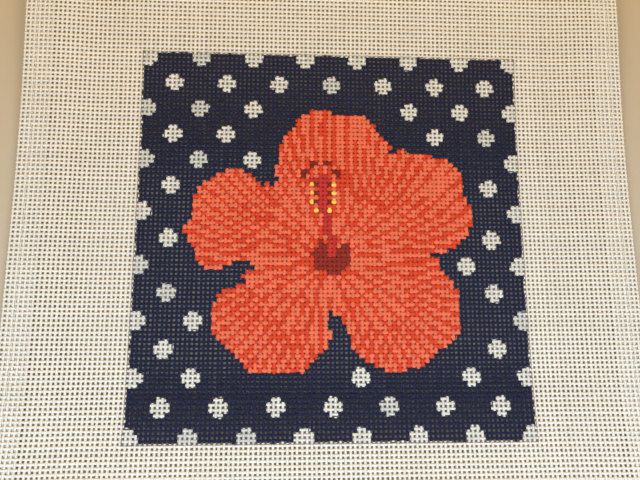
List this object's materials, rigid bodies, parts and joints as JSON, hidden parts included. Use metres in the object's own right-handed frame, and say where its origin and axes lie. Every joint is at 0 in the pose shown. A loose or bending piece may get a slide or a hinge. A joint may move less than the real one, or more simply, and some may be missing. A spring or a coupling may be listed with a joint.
{
  "type": "stitch-painted needlepoint canvas",
  "caption": "Hemmed mono needlepoint canvas with a painted hibiscus on a dotted ground, lying flat, to be stitched through its holes.",
  "frame": {"origin": "centre of the underside, at the middle of the bounding box's lowest face", "axes": "+Z out of the painted stitching side, +Y towards the top of the design, +X to its right"},
  "size_m": [0.2716, 0.2696, 0.0023],
  "materials": {
    "canvas_cotton": "stiffened cream cotton thread, matt, with matt acrylic paint on the stitched square",
    "sewing_cotton": "white twisted sewing cotton with a slight sheen"
  },
  "bodies": {
    "root": {"canvas": "canvas_cotton", "needle_thread": "sewing_cotton", "bobbin_thread": "sewing_cotton"}
  },
  "joints": []
}
